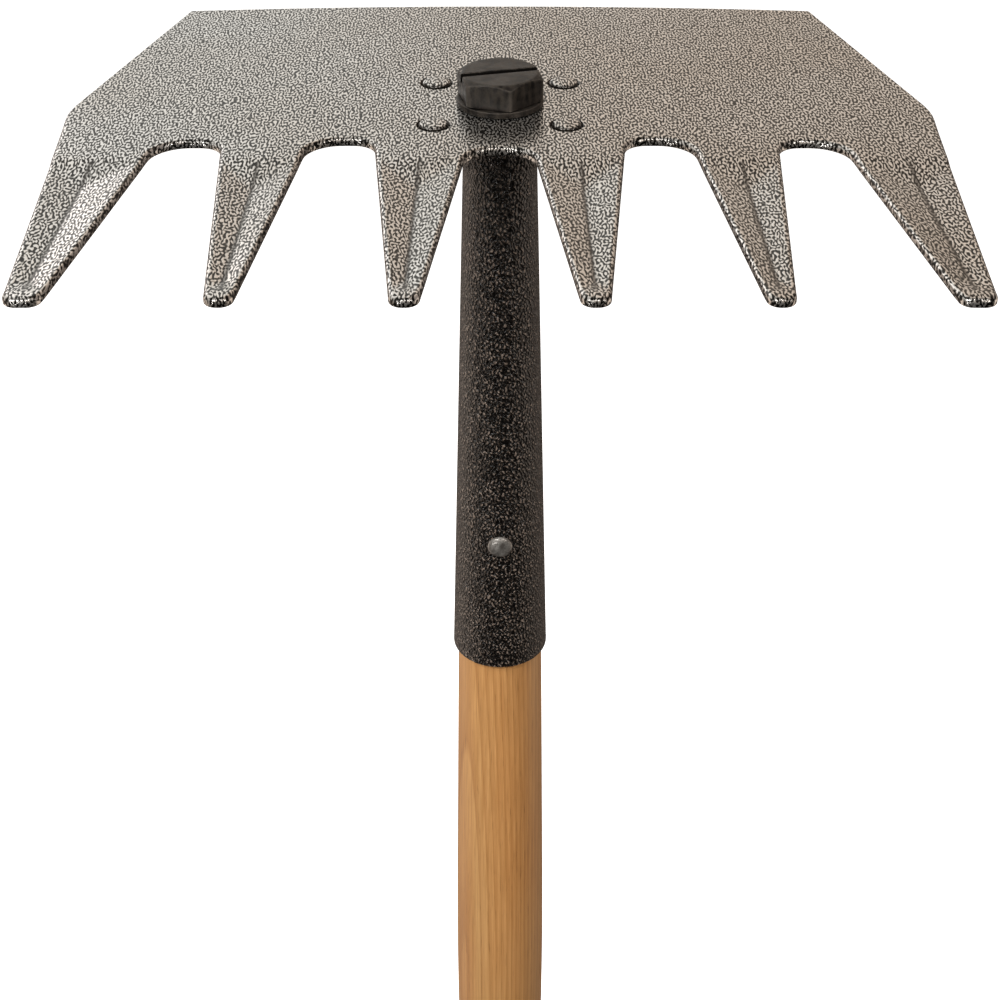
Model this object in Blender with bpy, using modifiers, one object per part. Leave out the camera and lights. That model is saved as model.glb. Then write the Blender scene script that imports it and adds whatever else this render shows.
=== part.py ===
"""McLeod rake-hoe: a stamped six-tooth head held on a long ash handle by one slotted hex-head screw.

Frame: +Z runs up the handle to the head, the origin is the centre of the handle's butt end. The teeth point
to -Y and the hoe edge to +Y. The blade's ground face looks up, so the screw head is the highest point.
Heights on the head are given as a depth below the ground face, and z_at() turns a depth into a world height.
"""

import math

import bmesh
import bpy
from mathutils import Matrix, Vector

# ---- driving dimensions, metres ----
GAP = 0.0003  # clearance between pieces that touch

HANDLE_LENGTH = 1.219  # 48 inches
HANDLE_TOP_DEPTH = 0.055  # how far below the ground face the wood ends inside the socket
HEAD_Z = HANDLE_LENGTH + HANDLE_TOP_DEPTH  # height of the blade's ground face

BLADE_THICKNESS = 0.003
HOE_HALF_WIDTH = 0.1262
HOE_CORNER_Y = 0.0975
HOE_CROWN = 0.0055  # how far the hoe edge bows out at its middle
SHOULDER_X = 0.1555  # widest point of the side, before rounding
SHOULDER_Y = -0.008
SHOULDER_RADIUS = 0.035
HOE_CORNER_RADIUS = 0.0015
TIP_Y = -0.1485
TIP_RADIUS = 0.0042

# Each gullet: its top's y, then x and corner radius of its side near the middle and of its outer side.
CENTRE_GULLET = (-0.0392, 0.0116, 0.0116)
INNER_GULLET = (-0.0315, 0.0439, 0.0080, 0.0665, 0.0130)
OUTER_GULLET = (-0.0335, 0.0970, 0.0080, 0.1192, 0.0135)
# Each tooth: x of its inner and outer side at the tip line, before rounding.
TOOTH_TIPS = ((0.0242, 0.0328), (0.0793, 0.0876), (0.1362, 0.1471))

WING_X = 0.045  # edge loops here part the plain wings from the middle that the bracket covers

# Each tooth is pressed into a V as wide as the tooth, sunk towards the handle.
CREASE_SLOPE = 0.25  # depth of the V over its half width
CREASE_ROOT_Y = -0.0515
CREASE_FULL_Y = -0.0640
CREASE_TIP_Y = -0.1420
CREASE_ROOT_HALF = 0.0114
CREASE_TIP_HALF = 0.0042
CREASE_X = ((0.0276, 0.0285), (0.0823, 0.0832), (0.1390, 0.1416))  # x at the root and at the tip

RIVET_X = 0.0236
RIVET_Y = 0.0195
RIVET_SHANK_R = 0.0032
RIVET_CROWN_R = 0.0060  # low head on the ground face
RIVET_CROWN_HEIGHT = 0.0008
RIVET_DOME_R = 0.0058  # high head under the bracket
RIVET_DOME_HEIGHT = 0.0032

BRACKET_THICKNESS = 0.003
BRACKET_HALF_X = 0.0335
BRACKET_HALF_Y = 0.0275
BRACKET_CORNER_R = 0.009
COLLAR_R = 0.0172
COLLAR_DEPTH = 0.0202  # depth of the collar's lower rim
COLLAR_FILLET = 0.004

SOCKET_TOP_DEPTH = 0.0066
SOCKET_MOUTH_DEPTH = 0.2508
SOCKET_TOP_R = 0.01336
SOCKET_MOUTH_R = 0.0205
SOCKET_WALL = 0.0018
SOCKET_EDGE_ROUND = 0.0006

PLUG_TOP_DEPTH = 0.0072
PLUG_BOTTOM_DEPTH = 0.0380
SCREW_R = 0.0079  # 5/8 inch thread
PLUG_BORE_R = 0.0083
THROUGH_HOLE_R = 0.0088

WASHER_R = 0.0158
WASHER_THICKNESS = 0.0023
WASHER_SPLIT = 0.002
WASHER_SPLIT_DEG = 30.0  # where the washer is split, from +Y towards +X
HEX_FLATS = 0.0284
HEX_TURN_DEG = 13.6  # direction of the slot and of one flat's normal, from +X
SCREW_HEAD_TOP = 0.0120  # height above the ground face
SCREW_BLANK_R = 0.0205  # round blank that the hexagon is cut from
SCREW_TOP_R = 0.01363  # round flat that the chamfer leaves on top of the hexagon
SCREW_CHAMFER_DEPTH = 0.0016  # how far the chamfer has come down at the hexagon's corners
SCREW_END_DEPTH = 0.0350
SCREW_END_CHAMFER = 0.0015
SLOT_WIDTH = 0.003
SLOT_DEPTH = 0.003

HANDLE_FIT = 0.0004  # clearance between the wood and the socket
HANDLE_TOP_CHAMFER = 0.002
BUTT_FLAT_R = 0.010
BUTT_R = 0.0200
BUTT_ROUND = 0.012  # height of the rounding at the butt end
# Exposed wood: depth below the ground face and radius.
HANDLE_SWELL = ((0.288, 0.0190), (0.351, 0.0201), (0.420, 0.0212), (0.489, 0.0216), (0.700, 0.0210))
HANDLE_GRIP = ((0.980, 0.0198), (1.180, 0.0196))

PIN_DEPTH = 0.186  # the handle rivet's axis below the ground face
PIN_SHANK_R = 0.003
PIN_HEAD_R = 0.0051
PIN_HEAD_HEIGHT = 0.0024
PIN_HEAD_RIM = 0.0004

ARC_STEP_DEG = 15.0  # turn between two points of a rounded corner
HOE_EDGE_POINTS = 9
ROUND_STEPS = 48
SMALL_STEPS = 24
PROFILE_STEPS = 5  # steps round a quarter turn of a profile
SHARP_ANGLE_DEG = 35.0
WELD_DISTANCE = 0.000001


def z_at(depth):
    """World height of a point this far below the blade's ground face."""
    return HEAD_Z - depth


def clear_scene():
    for obj in list(bpy.data.objects):
        bpy.data.objects.remove(obj, do_unlink=True)


def make_collection(name):
    collection = bpy.data.collections.new(name)
    bpy.context.scene.collection.children.link(collection)
    return collection


def material(name, color, roughness, metallic):
    made = bpy.data.materials.new(name)
    made.use_nodes = True
    shader = made.node_tree.nodes["Principled BSDF"]
    shader.inputs["Base Color"].default_value = (*color, 1.0)
    shader.inputs["Roughness"].default_value = roughness
    shader.inputs["Metallic"].default_value = metallic
    made.diffuse_color = (*color, 1.0)
    return made


def add_object(name, mesh, collection, finish=None):
    obj = bpy.data.objects.new(name, mesh)
    collection.objects.link(obj)
    if finish is not None:
        mesh.materials.append(finish)
    return obj


def as_cutter(obj):
    obj.hide_render = True
    obj.display_type = "WIRE"
    return obj


def boolean(target, other, operation):
    """Add an exact Boolean; a cutter or a joined body stays in the scene as a guide."""
    step = target.modifiers.new(f"{operation.title()} {other.name}", "BOOLEAN")
    step.operation = operation
    step.object = other
    step.solver = "EXACT"


def smooth_round(mesh):
    mesh.shade_smooth()
    mesh.set_sharp_from_angle(angle=math.radians(SHARP_ANGLE_DEG))


def evaluated_mesh(obj):
    """A new mesh of the object with its modifiers, or of a curve with its fill."""
    bpy.context.view_layer.update()
    evaluated = obj.evaluated_get(bpy.context.evaluated_depsgraph_get())
    return bpy.data.meshes.new_from_object(evaluated)


# ---- outlines ----
def fillet(before, corner, after, radius):
    """Points of the arc that rounds a corner of a polygon."""
    a = (Vector(before) - Vector(corner)).normalized()
    b = (Vector(after) - Vector(corner)).normalized()
    half = a.angle(b) / 2
    reach = radius / math.tan(half)
    centre = Vector(corner) + (a + b).normalized() * (radius / math.sin(half))
    start = Vector(corner) + a * reach - centre
    turn = (math.pi - 2 * half) * (1 if a.cross(b) < 0 else -1)
    steps = max(2, round(abs(math.degrees(turn)) / ARC_STEP_DEG))
    points = []
    for i in range(steps + 1):
        angle = turn * i / steps
        points.append((
            centre.x + start.x * math.cos(angle) - start.y * math.sin(angle),
            centre.y + start.x * math.sin(angle) + start.y * math.cos(angle),
        ))
    return points


def rounded(corners):
    """Closed outline from corners given as (x, y, radius)."""
    points = []
    count = len(corners)
    for i, (x, y, radius) in enumerate(corners):
        if radius == 0:
            points.append((x, y))
            continue
        before = corners[i - 1][:2]
        after = corners[(i + 1) % count][:2]
        points += fillet(before, (x, y), after, radius)
    return points


def right_half_corners():
    """Corners of the blade's outline on +X, from the centre gullet round to the hoe edge."""
    (centre_y, centre_x, centre_r) = CENTRE_GULLET
    corners = [(centre_x, centre_y, centre_r)]
    for (inner_tip, outer_tip), gullet in zip(TOOTH_TIPS, (INNER_GULLET, OUTER_GULLET, None)):
        corners.append((inner_tip, TIP_Y, TIP_RADIUS))
        corners.append((outer_tip, TIP_Y, TIP_RADIUS))
        if gullet:
            (top_y, near_x, near_r, far_x, far_r) = gullet
            corners.append((near_x, top_y, near_r))
            corners.append((far_x, top_y, far_r))
    corners.append((SHOULDER_X, SHOULDER_Y, SHOULDER_RADIUS))
    corners.append((HOE_HALF_WIDTH, HOE_CORNER_Y, HOE_CORNER_RADIUS))
    return corners


def quarter_turn():
    """Angles from 0 to 90 degrees for the rounded part of a profile."""
    return [math.radians(90 * i / PROFILE_STEPS) for i in range(PROFILE_STEPS + 1)]


def hoe_edge():
    """Points between the hoe corners, on the arc that bows out by HOE_CROWN."""
    points = []
    for i in range(1, HOE_EDGE_POINTS + 1):
        x = HOE_HALF_WIDTH * (1 - 2 * i / (HOE_EDGE_POINTS + 1))
        share = 1 - (x / HOE_HALF_WIDTH) ** 2
        points.append((x, HOE_CORNER_Y + HOE_CROWN * share, 0))
    return points


def blade_outline():
    right = right_half_corners()
    left = [(-x, y, radius) for x, y, radius in reversed(right)]
    return rounded(right + hoe_edge() + left)


def extruded(name, outline, thickness, z_middle, collection, finish=None):
    """Flat plate from a closed outline, as a mesh object."""
    curve = bpy.data.curves.new(f"{name}_outline", "CURVE")
    curve.dimensions = "2D"
    curve.fill_mode = "BOTH"
    curve.extrude = thickness / 2
    spline = curve.splines.new("POLY")
    spline.points.add(len(outline) - 1)
    for point, (x, y) in zip(spline.points, outline):
        point.co = (x, y, 0, 1)
    spline.use_cyclic_u = True
    guide = bpy.data.objects.new(f"{name}_guide", curve)
    collection.objects.link(guide)
    guide.location.z = z_middle
    mesh = evaluated_mesh(guide)
    mesh.name = name
    weld(mesh)
    obj = add_object(name, mesh, collection, finish)
    obj.matrix_world = guide.matrix_world
    bpy.data.objects.remove(guide, do_unlink=True)
    return obj


def weld(mesh):
    bm = bmesh.new()
    bm.from_mesh(mesh)
    bmesh.ops.remove_doubles(bm, verts=bm.verts, dist=WELD_DISTANCE)
    bmesh.ops.recalc_face_normals(bm, faces=bm.faces)
    bm.to_mesh(mesh)
    bm.free()


def add_loop(mesh, x):
    """Cut an edge loop round the mesh at a plane of constant x, without changing its shape."""
    bm = bmesh.new()
    bm.from_mesh(mesh)
    everything = bm.verts[:] + bm.edges[:] + bm.faces[:]
    bmesh.ops.bisect_plane(
        bm, geom=everything, dist=WELD_DISTANCE, plane_co=(x, 0, 0), plane_no=(1, 0, 0)
    )
    bm.to_mesh(mesh)
    bm.free()


# ---- turned and simple solids ----
def turned(name, profile, collection, finish=None, steps=ROUND_STEPS, closed=False):
    """Body turned about Z; the profile is (radius, z), running down its outer side."""
    mesh = bpy.data.meshes.new(name)
    points = [(radius, 0, z) for radius, z in profile]
    edges = [(i, i + 1) for i in range(len(points) - 1)]
    if closed:
        edges.append((len(points) - 1, 0))
    mesh.from_pydata(points, edges, [])
    obj = add_object(name, mesh, collection)
    screw = obj.modifiers.new("Turn", "SCREW")
    screw.axis = "Z"
    screw.angle = math.tau
    screw.steps = steps
    screw.render_steps = steps
    screw.use_merge_vertices = True
    screw.merge_threshold = 0.00001
    solid = evaluated_mesh(obj)
    obj.modifiers.remove(screw)
    obj.data = solid
    bpy.data.meshes.remove(mesh)
    solid.name = name
    if finish is not None:
        solid.materials.append(finish)
    smooth_round(solid)
    return obj


def cylinder(name, radius, low, high, collection):
    middle = (low + high) / 2
    bpy.ops.mesh.primitive_cylinder_add(
        vertices=ROUND_STEPS, radius=radius, depth=high - low, location=(0, 0, middle)
    )
    obj = bpy.context.active_object
    obj.name = name
    obj.data.name = name
    for owner in list(obj.users_collection):
        owner.objects.unlink(obj)
    collection.objects.link(obj)
    return obj


def pin_hole(name, collection):
    """Cutter along Y, right through the socket and the wood, for the handle rivet's shank."""
    middle = z_at(PIN_DEPTH)
    reach = 2 * SOCKET_MOUTH_R
    obj = cylinder(name, PIN_SHANK_R + GAP, middle - reach, middle + reach, collection)
    obj.rotation_euler.x = math.radians(90)
    return as_cutter(obj)


def box(name, size, centre, turn_deg, collection):
    bm = bmesh.new()
    bmesh.ops.create_cube(bm, size=1.0, matrix=Matrix.Diagonal((*size, 1.0)))
    mesh = bpy.data.meshes.new(name)
    bm.to_mesh(mesh)
    bm.free()
    obj = add_object(name, mesh, collection)
    obj.location = centre
    obj.rotation_euler.z = math.radians(turn_deg)
    return obj


# ---- the head ----
def crease(name, root_x, tip_x, side, depth, cutters):
    """Four-sided spindle along one tooth: a V groove on one face, or its ridge on the other."""
    run = math.hypot(side * (tip_x - root_x), CREASE_ROOT_Y - CREASE_TIP_Y)
    full = CREASE_ROOT_Y - CREASE_FULL_Y
    tail = run - CREASE_TIP_HALF
    profile = [(0, run), (CREASE_TIP_HALF, tail), (CREASE_ROOT_HALF, full), (0, 0)]
    obj = turned(name, profile, cutters, steps=4)
    aim = Vector((side * (tip_x - root_x), CREASE_TIP_Y - CREASE_ROOT_Y, 0)).normalized()
    across = Vector((0, 0, 1)).cross(aim)
    frame = Matrix((across, Vector((0, 0, 1)), aim)).transposed().to_4x4()
    flatten = Matrix.Diagonal((1, CREASE_SLOPE, 1, 1))
    place = Matrix.Translation((side * root_x, CREASE_ROOT_Y, z_at(depth)))
    obj.matrix_world = place @ frame @ flatten
    return as_cutter(obj)


def rivet_places():
    return [(x, y) for y in (RIVET_Y, -RIVET_Y) for x in (-RIVET_X, RIVET_X)]


def rivet_holes(name, low, high, cutters):
    """Cutters for the four rivets' shanks."""
    holes = []
    for number, (x, y) in enumerate(rivet_places(), 1):
        hole = cylinder(f"{name}_{number}", RIVET_SHANK_R + GAP, low, high, cutters)
        hole.location.x = x
        hole.location.y = y
        holes.append(as_cutter(hole))
    return holes


def blade(parts, cutters, finish):
    middle = z_at(BLADE_THICKNESS / 2)
    obj = extruded("blade", blade_outline(), BLADE_THICKNESS, middle, parts, finish)
    add_loop(obj.data, WING_X)
    add_loop(obj.data, -WING_X)
    for number, (root_x, tip_x) in enumerate(CREASE_X, 1):
        for side, hand in ((-1, "left"), (1, "right")):
            ridge = crease(f"ridge_{hand}_{number}", root_x, tip_x, side, BLADE_THICKNESS, cutters)
            boolean(obj, ridge, "UNION")
            groove = crease(f"groove_{hand}_{number}", root_x, tip_x, side, 0, cutters)
            boolean(obj, groove, "DIFFERENCE")
    reach = 2 * BLADE_THICKNESS
    hole = cylinder("blade_hole", THROUGH_HOLE_R, z_at(reach), z_at(-reach), cutters)
    boolean(obj, as_cutter(hole), "DIFFERENCE")
    for hole in rivet_holes("blade_rivet_hole", z_at(reach), z_at(-reach), cutters):
        boolean(obj, hole, "DIFFERENCE")
    return obj


def rounded_rectangle(half_x, half_y, radius):
    corners = [(half_x, -half_y), (half_x, half_y), (-half_x, half_y), (-half_x, -half_y)]
    return rounded([(x, y, radius) for x, y in corners])


def head_bracket(parts, cutters, finish):
    """Pressed flange with a drawn round collar that the socket's end sits in."""
    top = BLADE_THICKNESS + GAP
    bottom = top + BRACKET_THICKNESS
    outline = rounded_rectangle(BRACKET_HALF_X, BRACKET_HALF_Y, BRACKET_CORNER_R)
    middle = z_at((top + bottom) / 2)
    obj = extruded("head_bracket", outline, BRACKET_THICKNESS, middle, parts, finish)
    inside = top + BRACKET_THICKNESS / 2
    profile = [(0, z_at(inside)), (COLLAR_R + COLLAR_FILLET, z_at(inside))]
    for angle in quarter_turn():
        radius = COLLAR_R + COLLAR_FILLET * (1 - math.sin(angle))
        profile.append((radius, z_at(bottom + COLLAR_FILLET * (1 - math.cos(angle)))))
    profile += [(COLLAR_R, z_at(COLLAR_DEPTH)), (0, z_at(COLLAR_DEPTH))]
    boolean(obj, as_cutter(turned("collar_body", profile, cutters)), "UNION")
    mouth = [
        (0, z_at(bottom)),
        (socket_radius(bottom) + GAP, z_at(bottom)),
        (socket_radius(2 * COLLAR_DEPTH) + GAP, z_at(2 * COLLAR_DEPTH)),
        (0, z_at(2 * COLLAR_DEPTH)),
    ]
    boolean(obj, as_cutter(turned("collar_mouth", mouth, cutters)), "DIFFERENCE")
    hole = cylinder("bracket_hole", THROUGH_HOLE_R, z_at(2 * bottom), z_at(-bottom), cutters)
    boolean(obj, as_cutter(hole), "DIFFERENCE")
    for hole in rivet_holes("bracket_rivet_hole", z_at(2 * bottom), z_at(0), cutters):
        boolean(obj, hole, "DIFFERENCE")
    return obj


def rivets(parts, finish):
    """Four rivets through blade and bracket, with a low crown above and a high dome below."""
    seat = BLADE_THICKNESS + GAP + BRACKET_THICKNESS + GAP
    profile = [(0, z_at(-GAP - RIVET_CROWN_HEIGHT))]
    for angle in reversed(quarter_turn()[:-1]):
        height = GAP + RIVET_CROWN_HEIGHT * math.sin(angle)
        profile.append((RIVET_CROWN_R * math.cos(angle), z_at(-height)))
    profile += [(RIVET_SHANK_R, z_at(-GAP)), (RIVET_SHANK_R, z_at(seat)), (RIVET_DOME_R, z_at(seat))]
    for angle in quarter_turn()[1:-1]:
        drop = seat + RIVET_DOME_HEIGHT * math.sin(angle)
        profile.append((RIVET_DOME_R * math.cos(angle), z_at(drop)))
    profile.append((0, z_at(seat + RIVET_DOME_HEIGHT)))
    for number, (x, y) in enumerate(rivet_places(), 1):
        obj = turned(f"rivet_{number}", profile, parts, finish, steps=SMALL_STEPS)
        obj.location = (x, y, 0)


def lock_washer(parts, cutters, finish):
    low = z_at(-GAP)
    high = low + WASHER_THICKNESS
    profile = [(PLUG_BORE_R, high), (WASHER_R, high), (WASHER_R, low), (PLUG_BORE_R, low)]
    obj = turned("lock_washer", profile, parts, finish, closed=True)
    size = (WASHER_SPLIT, 2 * WASHER_R, 4 * WASHER_THICKNESS)
    turn = math.radians(WASHER_SPLIT_DEG)
    centre = (WASHER_R * math.sin(turn), WASHER_R * math.cos(turn), high)
    split = box("washer_split", size, centre, -WASHER_SPLIT_DEG, cutters)
    boolean(obj, as_cutter(split), "DIFFERENCE")
    return obj


def cap_screw(parts, cutters, finish):
    """Hex head with a chamfered top and a full-width slot, on a plain shank."""
    under = z_at(-(2 * GAP + WASHER_THICKNESS))
    top = z_at(-SCREW_HEAD_TOP)
    end = z_at(SCREW_END_DEPTH)
    corner_r = HEX_FLATS / 2 / math.cos(math.radians(30))
    cone_drop = SCREW_CHAMFER_DEPTH * (SCREW_BLANK_R - SCREW_TOP_R) / (corner_r - SCREW_TOP_R)
    lathe = [
        (0, top),
        (SCREW_TOP_R, top),
        (SCREW_BLANK_R, top - cone_drop),
        (SCREW_BLANK_R, under),
        (SCREW_R, under),
        (SCREW_R, end + SCREW_END_CHAMFER),
        (SCREW_R - SCREW_END_CHAMFER, end),
        (0, end),
    ]
    obj = turned("cap_screw", lathe, parts, finish)
    outline = []
    for i in range(6):
        angle = math.radians(HEX_TURN_DEG + 30 + 60 * i)
        outline.append((corner_r * math.cos(angle), corner_r * math.sin(angle)))
    height = 2 * (top - end)
    prism = extruded("hex_prism", outline, height, (top + end) / 2, cutters)
    boolean(obj, as_cutter(prism), "INTERSECT")
    size = (3 * corner_r, SLOT_WIDTH, 2 * SLOT_DEPTH)
    slot = box("screw_slot", size, (0, 0, top), HEX_TURN_DEG, cutters)
    boolean(obj, as_cutter(slot), "DIFFERENCE")
    return obj


# ---- the handle ----
def socket_radius(depth):
    """Outer radius of the tapered socket at a depth below the ground face."""
    share = (depth - SOCKET_TOP_DEPTH) / (SOCKET_MOUTH_DEPTH - SOCKET_TOP_DEPTH)
    return SOCKET_TOP_R + (SOCKET_MOUTH_R - SOCKET_TOP_R) * share


def socket_inner_radius(depth):
    return socket_radius(depth) - SOCKET_WALL


def socket(parts, cutters, finish):
    edge = SOCKET_EDGE_ROUND
    profile = [
        (socket_inner_radius(SOCKET_TOP_DEPTH), z_at(SOCKET_TOP_DEPTH)),
        (SOCKET_TOP_R - edge, z_at(SOCKET_TOP_DEPTH)),
        (socket_radius(SOCKET_TOP_DEPTH + edge), z_at(SOCKET_TOP_DEPTH + edge)),
        (socket_radius(SOCKET_MOUTH_DEPTH - edge), z_at(SOCKET_MOUTH_DEPTH - edge)),
        (SOCKET_MOUTH_R - edge, z_at(SOCKET_MOUTH_DEPTH)),
        (socket_inner_radius(SOCKET_MOUTH_DEPTH), z_at(SOCKET_MOUTH_DEPTH)),
    ]
    obj = turned("socket", profile, parts, finish, closed=True)
    boolean(obj, pin_hole("socket_pin_hole", cutters), "DIFFERENCE")
    return obj


def threaded_plug(parts, finish):
    top = PLUG_TOP_DEPTH
    low = PLUG_BOTTOM_DEPTH
    profile = [
        (PLUG_BORE_R, z_at(top)),
        (socket_inner_radius(top) - GAP, z_at(top)),
        (socket_inner_radius(low) - GAP, z_at(low)),
        (PLUG_BORE_R, z_at(low)),
    ]
    return turned("threaded_plug", profile, parts, finish, closed=True)


def handle(parts, cutters, finish):
    top = HANDLE_TOP_DEPTH
    edge = HANDLE_TOP_CHAMFER
    mouth = SOCKET_MOUTH_DEPTH
    profile = [
        (0, z_at(top)),
        (socket_inner_radius(top) - HANDLE_FIT - edge, z_at(top)),
        (socket_inner_radius(top + edge) - HANDLE_FIT, z_at(top + edge)),
        (socket_inner_radius(mouth) - HANDLE_FIT, z_at(mouth)),
    ]
    profile += [(radius, z_at(depth)) for depth, radius in HANDLE_SWELL + HANDLE_GRIP]
    profile.append((BUTT_R, BUTT_ROUND * 2))
    for angle in quarter_turn():
        radius = BUTT_FLAT_R + (BUTT_R - BUTT_FLAT_R) * math.cos(angle)
        profile.append((radius, BUTT_ROUND * (1 - math.sin(angle))))
    profile.append((0, 0))
    obj = turned("handle", profile, parts, finish)
    boolean(obj, pin_hole("handle_pin_hole", cutters), "DIFFERENCE")
    return obj


def handle_rivet(parts, finish):
    """Pin across the socket, turned about Z at the origin and then laid along Y."""
    seat = socket_radius(PIN_DEPTH + PIN_HEAD_R) + GAP
    rim = seat + PIN_HEAD_RIM
    dome = []
    for angle in quarter_turn()[:-1]:
        height = rim + (PIN_HEAD_HEIGHT - PIN_HEAD_RIM) * math.sin(angle)
        dome.append((PIN_HEAD_R * math.cos(angle), height))
    dome.append((0, seat + PIN_HEAD_HEIGHT))
    half = [*reversed(dome), (PIN_HEAD_R, seat), (PIN_SHANK_R, seat)]
    profile = half + [(radius, -z) for radius, z in reversed(half)]
    obj = turned("handle_rivet", profile, parts, finish, steps=SMALL_STEPS)
    obj.location.z = z_at(PIN_DEPTH)
    obj.rotation_euler.x = math.radians(90)
    return obj


def main():
    clear_scene()
    parts = make_collection("mcleod_tool")
    cutters = make_collection("cutters")
    paint = material("silver_hammertone", (0.33, 0.31, 0.28), 0.35, 0.6)
    black = material("black_hammertone", (0.02, 0.018, 0.016), 0.4, 0.3)
    oxide = material("black_oxide", (0.03, 0.03, 0.03), 0.45, 0.8)
    steel = material("plain_steel", (0.45, 0.43, 0.41), 0.35, 1.0)
    wood = material("ash", (0.55, 0.31, 0.13), 0.5, 0.0)
    blade(parts, cutters, paint)
    head_bracket(parts, cutters, black.copy())
    rivets(parts, paint.copy())
    lock_washer(parts, cutters, oxide.copy())
    cap_screw(parts, cutters, oxide)
    socket(parts, cutters, black)
    threaded_plug(parts, steel.copy())
    handle(parts, cutters, wood)
    handle_rivet(parts, steel)


main()
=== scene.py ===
"""Looks of the McLeod rake-hoe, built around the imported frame.

The frame stands on the handle's butt end: +Z runs up the handle, the teeth point to -Y and the blade's
ground face looks up. Depths on the head are measured down from the ground face, in metres.
"""

import math

import bmesh
import bpy
import numpy as np
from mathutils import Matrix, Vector
from mathutils.geometry import delaunay_2d_cdt


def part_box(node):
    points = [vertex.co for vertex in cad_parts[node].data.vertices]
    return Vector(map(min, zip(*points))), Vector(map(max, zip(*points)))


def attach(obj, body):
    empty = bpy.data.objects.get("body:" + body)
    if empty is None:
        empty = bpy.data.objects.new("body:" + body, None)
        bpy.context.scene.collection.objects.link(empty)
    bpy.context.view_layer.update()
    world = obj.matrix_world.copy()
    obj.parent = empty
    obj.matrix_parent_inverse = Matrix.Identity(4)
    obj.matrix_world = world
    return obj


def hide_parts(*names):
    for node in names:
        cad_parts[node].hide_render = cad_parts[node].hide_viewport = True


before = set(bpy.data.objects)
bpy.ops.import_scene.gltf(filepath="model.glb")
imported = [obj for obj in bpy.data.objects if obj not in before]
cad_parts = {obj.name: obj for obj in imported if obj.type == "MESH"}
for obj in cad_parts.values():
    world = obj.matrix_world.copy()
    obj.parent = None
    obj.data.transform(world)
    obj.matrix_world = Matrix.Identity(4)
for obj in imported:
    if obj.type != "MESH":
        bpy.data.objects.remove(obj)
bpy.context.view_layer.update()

HEAD_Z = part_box("blade")[1].z  # the ground face

# ---- blade, as in the CAD model; only its pressed folds run out more softly here ----
BLADE_THICKNESS = 0.003
HOE_HALF_WIDTH = 0.1262
HOE_CORNER_Y = 0.0975
HOE_CROWN = 0.0055
SHOULDER = (0.1555, -0.008, 0.035)  # x, y and radius of the side's widest corner
HOE_CORNER_RADIUS = 0.0015
TIP_Y = -0.1485
TIP_RADIUS = 0.0042
# Each gullet: its top's y, then x and corner radius of its side near the middle and of its outer side.
CENTRE_GULLET = (-0.0392, 0.0116, 0.0116)
INNER_GULLET = (-0.0315, 0.0439, 0.0080, 0.0665, 0.0130)
OUTER_GULLET = (-0.0335, 0.0970, 0.0080, 0.1192, 0.0135)
# Each tooth: x of its inner and outer side at the tip line, before rounding.
TOOTH_TIPS = ((0.0242, 0.0328), (0.0793, 0.0876), (0.1362, 0.1471))
# Side lines of each tooth: x at the gullet line and at the tip line, for its inner and outer side.
TOOTH_SIDES = (
    ((0.0108, 0.0242), (0.0439, 0.0328)),
    ((0.0665, 0.0793), (0.0970, 0.0876)),
    ((0.1192, 0.1362), (0.1571, 0.1471)),
)
GULLET_Y = -0.0320
CREASE_X = ((0.0276, 0.0285), (0.0823, 0.0832), (0.1390, 0.1416))  # at the fold's root and at its tip
FOLD_ROOT_Y = -0.0480
FOLD_TIP_Y = -0.1440
FOLD_ROOT_DEPTH = 0.00285
FOLD_TIP_DEPTH = 0.00125
FOLD_ROOT_RUN = 0.019  # how far the sloping end of the fold reaches at the root
FOLD_TIP_RUN = 0.009
CREASE_ROUND = 0.0006  # rounding of the bottom of the V
FOLD_SOFTNESS = 0.20  # how gradually the V runs out into the plate, as a share of its depth
RIM_TEETH = 0.0016  # rounding of the ground face's edge round the teeth
RIM_HOE = 0.0005  # and along the sides and the hoe edge
RIM_CHANGE = (-0.030, 0.005)  # y where the one runs into the other
RIM_BOTTOM = 0.0004
RIM_SUPPORT = 0.0004  # flat ring next to the rounding, which keeps the shading clean
BLADE_REACH = 0.156  # a little past the blade's widest point
FOLDS_Y = -0.044  # the folds lie in front of this line
HOLE_MARGIN = 0.003  # round the holes, no points inside the plate's faces
HOLE_LIP = 0.0003

# ---- fittings, as in the CAD model apart from the crowns of the blade's rivets ----
RIVET_PLACES = [(x, y) for y in (0.0195, -0.0195) for x in (-0.0236, 0.0236)]
RIVET_CROWN_R = 0.0053
RIVET_CROWN_HEIGHT = 0.0008
RIVET_SHANK_R = 0.0032
RIVET_SEAT = (0.0055, 0.0060, 0.0010)  # ring pressed into the plate round each crown: both radii, depth
RIVET_SHOULDER = 0.0011
RIVET_MIDDLE = ((0, 0.0002), (0.0022, 0.00015))  # radius and rise of the points in the crown's middle
RIVET_DOME_SEAT_R = 0.0056
RIVET_DOME_R = 0.0058  # high head under the bracket
RIVET_DOME_HEIGHT = 0.0032
SEAM_INNER = (-0.0006, -0.0001)  # the painted shade of the seam starts here, off the crown's radius
SEAM_OUTER = (0.0007, 0.0011)  # and ends here
GAP = 0.0003
THROUGH_HOLE_R = 0.0088
BRACKET_HALF = (0.0335, 0.0275)
BRACKET_CORNER_R = 0.009
BRACKET_THICKNESS = 0.003
BRACKET_ROUNDS = (0.0003, 0.0010)  # of the edges against the blade and away from it
BRACKET_OUTLINE_STEP = 0.004
COLLAR_R = 0.0172
COLLAR_CLEARANCE = 0.0002  # beside GAP, between the collar and the socket
COLLAR_RIM_ROUND = 0.0006
COLLAR_DEPTH = 0.0202
COLLAR_FILLET = 0.004
SOCKET_TOP_DEPTH = 0.0066
SOCKET_MOUTH_DEPTH = 0.2508
SOCKET_TOP_R = 0.01336
SOCKET_MOUTH_R = 0.0205
SOCKET_WALL = 0.0018
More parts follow.
